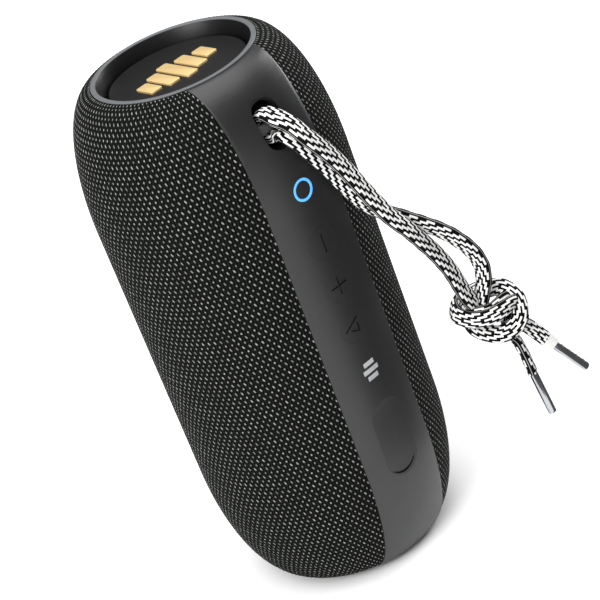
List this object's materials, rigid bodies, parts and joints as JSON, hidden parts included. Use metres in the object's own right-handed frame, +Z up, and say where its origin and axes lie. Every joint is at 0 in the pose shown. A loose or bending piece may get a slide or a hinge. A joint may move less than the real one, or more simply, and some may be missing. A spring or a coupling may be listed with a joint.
{
  "type": "shower speaker",
  "caption": "Waterproof cylindrical speaker with woven sleeve, rubber control spine, passive radiator in each end and a braided lanyard.",
  "frame": {"origin": "on the body's axis, in the plane of the lower ring's foot", "axes": "+Z up the body, -Y out of the control spine"},
  "size_m": [0.1038, 0.1019, 0.174],
  "materials": {
    "woven_sleeve": "woven, matte",
    "black_abs": "moulded, matte",
    "spine_rubber": "moulded, satin",
    "printed_mark": "printed",
    "ring_gloss": "gloss",
    "soft_rubber": "matte",
    "zinc_steel": "plated",
    "bar_plastic": "satin",
    "braided_cord": "braided",
    "aglet_steel": "satin",
    "light_guide": "clear, lit",
    "circuit_board": "solder mask",
    "board_parts": "moulded",
    "plunger_plastic": "moulded",
    "cell_wrap": null,
    "painted_basket": "moulded",
    "paper_cone": "coated paper",
    "radiator_disc": "satin",
    "gold_trim": "satin"
  },
  "bodies": {
    "housing": {"fabric_sleeve": "woven_sleeve", "grille_shell": "black_abs", "spine": "spine_rubber", "spine_mark": "printed_mark", "top_ring": "ring_gloss", "bottom_ring": "ring_gloss", "front_cabinet": "black_abs", "rear_cabinet": "black_abs", "cabinet_seal": "soft_rubber", "cabinet_screws": "zinc_steel", "lanyard_cup": "black_abs", "lanyard_bar": "bar_plastic", "button_carrier": "black_abs", "light_ring": "light_guide", "control_board": "circuit_board", "switch_bodies": "black_abs", "small_screws": "zinc_steel", "port_cover_tab": "spine_rubber", "port_tray": "black_abs", "usb_socket": "zinc_steel", "aux_jack": "black_abs", "main_board": "circuit_board", "board_parts": "board_parts", "battery_cells": "cell_wrap", "battery_holder": "black_abs", "upper_driver_basket": "painted_basket", "upper_driver_magnet": "zinc_steel", "upper_driver_surround": "soft_rubber", "lower_driver_basket": "painted_basket", "lower_driver_magnet": "zinc_steel", "lower_driver_surround": "soft_rubber", "top_radiator_frame": "black_abs", "top_surround": "soft_rubber", "bottom_radiator_frame": "black_abs", "bottom_surround": "soft_rubber"},
    "lanyard": {"strand_upper": "braided_cord", "strand_lower": "braided_cord", "lanyard_knot": "braided_cord", "tail_left": "braided_cord", "tail_right": "braided_cord", "aglet_left": "aglet_steel", "aglet_right": "aglet_steel"},
    "power_button": {"power_cap": "spine_rubber", "power_plunger": "plunger_plastic"},
    "volume_down_button": {"volume_down_cap": "spine_rubber", "volume_down_plunger": "plunger_plastic"},
    "volume_up_button": {"volume_up_cap": "spine_rubber", "volume_up_plunger": "plunger_plastic"},
    "play_button": {"play_cap": "spine_rubber", "play_plunger": "plunger_plastic"},
    "port_flap": {"port_cover": "spine_rubber"},
    "upper_cone": {"upper_driver_cone": "paper_cone"},
    "lower_cone": {"lower_driver_cone": "paper_cone"},
    "top_radiator": {"top_diaphragm": "radiator_disc", "top_weight": "zinc_steel", "top_emblem": "gold_trim"},
    "bottom_radiator": {"bottom_diaphragm": "radiator_disc", "bottom_weight": "zinc_steel"}
  },
  "joints": [
    {"name": "power_press", "type": "slide", "parent": "housing", "child": "power_button", "axis": [0, 1, 0], "range_m": [0, 0.0004], "stiffness_N_per_m": 2500, "springref_m": -0.0002},
    {"name": "volume_down_press", "type": "slide", "parent": "housing", "child": "volume_down_button", "axis": [0, 1, 0], "range_m": [0, 0.0004], "stiffness_N_per_m": 2500, "springref_m": -0.0002},
    {"name": "volume_up_press", "type": "slide", "parent": "housing", "child": "volume_up_button", "axis": [0, 1, 0], "range_m": [0, 0.0004], "stiffness_N_per_m": 2500, "springref_m": -0.0002},
    {"name": "play_press", "type": "slide", "parent": "housing", "child": "play_button", "axis": [0, 1, 0], "range_m": [0, 0.0004], "stiffness_N_per_m": 2500, "springref_m": -0.0002},
    {"name": "port_cover_hinge", "type": "hinge", "parent": "housing", "child": "port_flap", "pos_m": [0, -0.04, 0.0585], "axis": [-1, 0, 0], "range_deg": [0, 100]},
    {"name": "upper_cone_stroke", "type": "slide", "parent": "housing", "child": "upper_cone", "axis": [0, 1, 0], "range_m": [-0.0012, 0.0012], "stiffness_N_per_m": 1200},
    {"name": "lower_cone_stroke", "type": "slide", "parent": "housing", "child": "lower_cone", "axis": [0, 1, 0], "range_m": [-0.0012, 0.0012], "stiffness_N_per_m": 1200},
    {"name": "top_radiator_stroke", "type": "slide", "parent": "housing", "child": "top_radiator", "axis": [0, 0, 1], "range_m": [-0.002, 0.002], "stiffness_N_per_m": 1500},
    {"name": "bottom_radiator_stroke", "type": "slide", "parent": "housing", "child": "bottom_radiator", "axis": [0, 0, 1], "range_m": [-0.002, 0.002], "stiffness_N_per_m": 1500},
    {"name": "lanyard_swing", "type": "hinge", "parent": "housing", "child": "lanyard", "pos_m": [0, -0.0352, 0.1566], "axis": [-1, 0, 0], "range_deg": [0, 40]}
  ]
}
